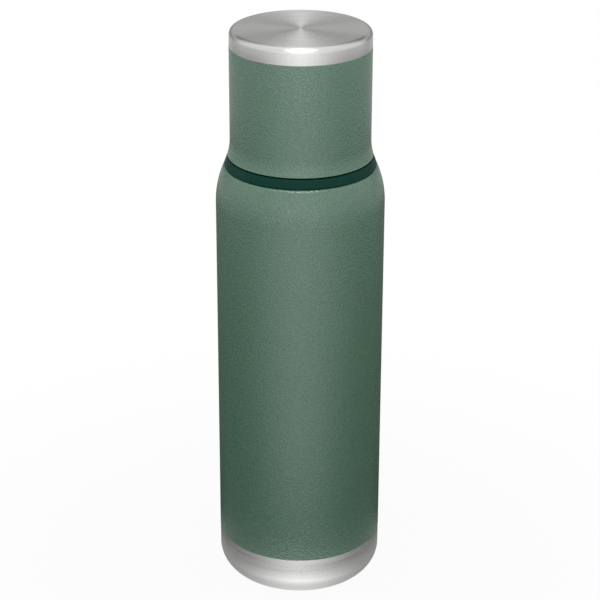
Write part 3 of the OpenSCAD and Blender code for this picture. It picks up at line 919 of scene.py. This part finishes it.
class FLASK_OT_collar(Operator):
    """Turns the dark collar with its band and the cup's thread, and its gasket"""
    bl_idname = "flask.collar"
    bl_label = "Collar"

    def execute(self, context):
        s = sizes_of(context)
        bottom, top, outer = low("neck_collar").z, high("neck_collar").z, high("neck_collar").x
        bore = low_radius("collar_gasket")
        groove = bore + s.gasket_width
        band_top = bottom + s.band_height
        inner = outer - s.band_draw - s.band_wall
        line = Section(groove, bottom)
        line.to(
            (groove, bottom + s.gasket_height), (bore, bottom + s.gasket_height), (bore, top),
            (s.collar_thread, top), (s.collar_thread, band_top), (outer - s.band_draw, band_top),
            (outer, bottom + s.band_lift), (inner, bottom + s.band_lift),
            (inner, band_top - s.band_wall), (s.collar_thread, band_top - s.band_wall),
            (s.collar_thread, bottom),
        )
        bm = line.spun(s.edge)
        add_ridges(
            bm, s, s.collar_thread, s.collar_thread + s.cup_ridge,
            top - s.ridge_top - s.cup_lead * COLLAR_SWEEP / FULL_TURN,
            s.cup_lead, COLLAR_SWEEP, COLLAR_STARTS,
        )
        piece("collar", bm, "dark_green_plastic", "flask", "neck_collar")
        ring("collar_gasket_ring", "collar_gasket", "flask", s.edge)
        return {"FINISHED"}


class FLASK_OT_cup(Operator):
    """Turns the cup: its coated shell, bare steel foot, liner with the thread, and flat seal"""
    bl_idname = "flask.cup"
    bl_label = "Cup"

    def execute(self, context):
        s = sizes_of(context)
        t = s.cup_wall
        rim, rim_r, coat_top = low("cup_shell").z, high("cup_shell").x, high("cup_shell").z
        outer = rim_r - s.cup_flare
        flare_top = rim + s.cup_flare_height
        flare = (s.cup_flare_height ** 2 + s.cup_flare ** 2) / (2 * s.cup_flare)
        turn = math.asin(s.cup_flare_height / flare)
        line = Section(outer, coat_top)
        line.to((outer, flare_top))
        line.arc(outer + flare, flare_top, turn, FINE_ARC_STEPS)
        line.to((rim_r - t, rim))
        line.arc(outer - t + flare, flare_top, -turn, FINE_ARC_STEPS)
        line.to((outer - t, coat_top))
        piece("cup_coat", line.spun(s.fine_edge), "green_coat", "cup", "cup_shell")

        top, foot = high("cup_foot").z, high("cup_foot").x
        flat, flat_z = foot - s.foot_round, top - s.foot_round
        sleeve = outer - t
        line = Section(foot, coat_top)
        line.to((foot, flat_z))
        line.arc(flat, flat_z, QUARTER, FINE_ARC_STEPS)
        line.to(
            (flat - s.edge, top), *((flat * part, top) for part in FOOT_RINGS),
            (0, top - t), (flat, top - t),
        )
        line.arc(flat, flat_z, -QUARTER)
        line.to(
            (foot - t, coat_top + s.lap), (sleeve - t, coat_top + s.lap),
            (sleeve - t, coat_top - s.lap), (sleeve, coat_top - s.lap), (sleeve, coat_top),
        )
        piece("cup_steel_foot", line.spun(s.fine_edge), "brushed_steel", "cup", "cup_foot")

        lip_z = rim + s.cup_lip
        lip = (high("cup_liner").x - s.cup_thread) / 2
        floor_r, floor_z = s.cup_bore - s.cup_floor_round, s.cup_floor - s.cup_floor_round
        line = Section(0, s.cup_floor)
        line.to((floor_r, s.cup_floor))
        line.arc(floor_r, floor_z, -QUARTER)
        line.to((s.cup_bore, s.cup_step), (s.cup_thread, s.cup_step), (s.cup_thread, lip_z))
        line.arc(s.cup_thread + lip, lip_z, 2 * QUARTER)
        line.to((s.cup_thread + 2 * lip - t, lip_z))
        line.arc(s.cup_thread + lip, lip_z, -2 * QUARTER)
        line.to(
            (s.cup_thread + t, s.cup_step + t), (s.cup_bore + t, s.cup_step + t),
            (s.cup_bore + t, floor_z),
        )
        line.arc(floor_r, floor_z, QUARTER)
        line.to((0, s.cup_floor + t))
        bm = line.spun(s.fine_edge, closed=False)
        fall = (s.ridge_root + s.ridge_crest) / 2 + FLANK_GAP
        add_ridges(
            bm, s, s.cup_thread, s.cup_thread - s.cup_ridge,
            high("neck_collar").z - s.ridge_top - s.cup_lead * COLLAR_SWEEP / FULL_TURN - fall,
            s.cup_lead, COLLAR_SWEEP, COLLAR_STARTS,
        )
        piece("cup_inside", bm, "vessel_steel", "cup", "cup_liner")
        ring("cup_seal_ring", "cup_seal", "cup_ring", s.edge)
        return {"FINISHED"}


class FLASK_OT_stopper(Operator):
    """Makes the stopper: its knob, body, foam, seal and the disc that holds the seal"""
    bl_idname = "flask.stopper"
    bl_label = "Stopper"

    def execute(self, context):
        edge = sizes_of(context).edge
        dress_node("stopper_body", "dark_green_plastic")
        softened("stopper_knob", "stopper_cap", "dark_green_plastic", "stopper", edge)
        softened("stopper_disc", "stopper_retainer", "dark_green_plastic", "stopper", edge)
        softened("stopper_foam", "stopper_core", "foam", "stopper", edge)
        softened("stopper_seal_ring", "stopper_seal", "silicone", "stopper_ring", edge)
        return {"FINISHED"}


class FLASK_OT_vacuum(Operator):
    """Finishes the pieces in the vacuum between the walls"""
    bl_idname = "flask.vacuum"
    bl_label = "Vacuum pieces"

    def execute(self, context):
        for node, slot in (
            ("heat_shield", "copper_foil"), ("getter", "getter_metal"),
            ("getter_clip", "spring_steel"), ("seal_bead", "braze"),
        ):
            dress_node(node, slot)
        return {"FINISHED"}


class FLASK_OT_stage(Operator):
    """Sets up the camera, the softbox, the pale floor and the white surroundings"""
    bl_idname = "flask.stage"
    bl_label = "Studio"

    def execute(self, context):
        scene, studio = context.scene, context.scene.flask_studio
        scene.view_settings.view_transform = "Standard"
        self.camera(scene, studio)
        self.floor(scene, studio)
        self.world(scene, studio)
        for part, spread in LAMPS:
            self.lamp(scene, part * studio.light, spread)
        return {"FINISHED"}

    @staticmethod
    def camera(scene, studio):
        """Places the camera that was fitted to the photo"""
        lens = bpy.data.cameras.new("photo_camera")
        lens.sensor_width = SENSOR_WIDTH
        lens.lens = studio.lens
        made = bpy.data.objects.new("photo_camera", lens)
        made.matrix_world = (
            Matrix.Translation(studio.camera)
            @ Matrix.Rotation(QUARTER - studio.pitch, 4, "X")
            @ Matrix.Rotation(studio.roll, 4, "Z")
        )
        scene.collection.objects.link(made)
        scene.camera = made

    @staticmethod
    def lamp(scene, power, spread):
        """Hangs one lamp of the softbox above the front, a wider one a little further off"""
        light = bpy.data.lights.new("softbox", "AREA")
        light.shape = "ELLIPSE"
        light.size, light.size_y = (side * spread for side in LAMP_SIZE)
        light.energy = power
        made = bpy.data.objects.new("softbox", light)
        made.location = LAMP_PLACE * (1 + LAMP_SPACING * spread)
        made.rotation_euler = (LAMP_AIM - made.location).to_track_quat("-Z", "Y").to_euler()
        scene.collection.objects.link(made)

    @staticmethod
    def floor(scene, studio):
        """Lays the pale floor, which is clear from below"""
        bm = bmesh.new()
        bmesh.ops.create_circle(bm, cap_ends=True, segments=96, radius=FLOOR_RADIUS)
        mesh = bpy.data.meshes.new("floor")
        bm.to_mesh(mesh)
        bm.free()
        mesh.materials.append(floor_material(studio))
        made = bpy.data.objects.new("floor", mesh)
        scene.collection.objects.link(made)

    @staticmethod
    def world(scene, studio):
        """White to the camera; mirrors see bright walls, a dim backdrop and a scrim overhead"""
        world = bpy.data.worlds.new("white_room")
        world.use_nodes = True
        tree = world.node_tree
        tree.nodes.clear()
        ray = add(tree, "ShaderNodeLightPath").outputs
        way = axes(tree, add(tree, "ShaderNodeTexCoord").outputs["Object"])
        lobe = facing_front(tree, way["Y"], ROOM_FOCUS)
        sides = ramps(tree, way["Z"], ROOM_SIDE)
        walls = mix_value(tree, lobe, sides, ramps(tree, way["Z"], ROOM_FRONT))
        # A bright slit in the upper backdrop gives the steel end its streak
        slit = maths(
            tree, "MULTIPLY", map_range(tree, maths(tree, "ABSOLUTE", way["X"]), *SLIT_SPAN),
            ramps(tree, way["Z"], SLIT),
        )
        backdrop = maths(tree, "ADD", ramps(tree, way["Z"], BACKDROP), slit)
        room = mix_value(tree, map_range(tree, way["Y"], *BACKDROP_SPAN), walls, backdrop)
        room = mix_value(tree, map_range(tree, way["Z"], *SCRIM_SPAN), room, SCRIM)
        lit = mix_value(tree, mirrored(tree, ray), studio.ambient, room)
        strength = mix_value(tree, ray["Is Camera Ray"], lit, 1.0)
        sky = add(tree, "ShaderNodeBackground", {"Color": WHITE, "Strength": strength})
        add(tree, "ShaderNodeOutputWorld", {"Surface": sky.outputs[0]})
        scene.world = world


class FLASK_PT_panel(Panel):
    """Lists the flask's pieces, sizes, colours and studio"""
    bl_idname = "FLASK_PT_panel"
    bl_label = "Vacuum flask"
    bl_space_type = "VIEW_3D"
    bl_region_type = "UI"
    bl_category = "Flask"

    def draw(self, context):
        """Shows a button for each operator and a field for each setting"""
        for operator in OPERATORS:
            self.layout.operator(operator.bl_idname)
        for settings in (
            context.scene.flask_sizes, context.scene.flask_colours, context.scene.flask_studio,
        ):
            column = self.layout.column()
            for name in settings.__annotations__:
                column.prop(settings, name)


OPERATORS = (
    FLASK_OT_stage, FLASK_OT_shell, FLASK_OT_base, FLASK_OT_vessel, FLASK_OT_vacuum,
    FLASK_OT_collar, FLASK_OT_cup, FLASK_OT_stopper,
)
CLASSES = (FlaskSizes, FlaskColours, FlaskStudio, *OPERATORS, FLASK_PT_panel)


def register():
    """Registers the classes and hangs the settings on the scene"""
    for cls in CLASSES:
        bpy.utils.register_class(cls)
    bpy.types.Scene.flask_sizes = PointerProperty(type=FlaskSizes)
    bpy.types.Scene.flask_colours = PointerProperty(type=FlaskColours)
    bpy.types.Scene.flask_studio = PointerProperty(type=FlaskStudio)


def unregister():
    """Takes the settings and the classes away again"""
    del bpy.types.Scene.flask_studio
    del bpy.types.Scene.flask_colours
    del bpy.types.Scene.flask_sizes
    for cls in reversed(CLASSES):
        bpy.utils.unregister_class(cls)


def main():
    """Makes the studio and every piece"""
    register()
    bpy.ops.flask.stage()
    bpy.ops.flask.shell()
    bpy.ops.flask.base()
    bpy.ops.flask.vessel()
    bpy.ops.flask.vacuum()
    bpy.ops.flask.collar()
    bpy.ops.flask.cup()
    bpy.ops.flask.stopper()


if __name__ == "__main__":
    main()
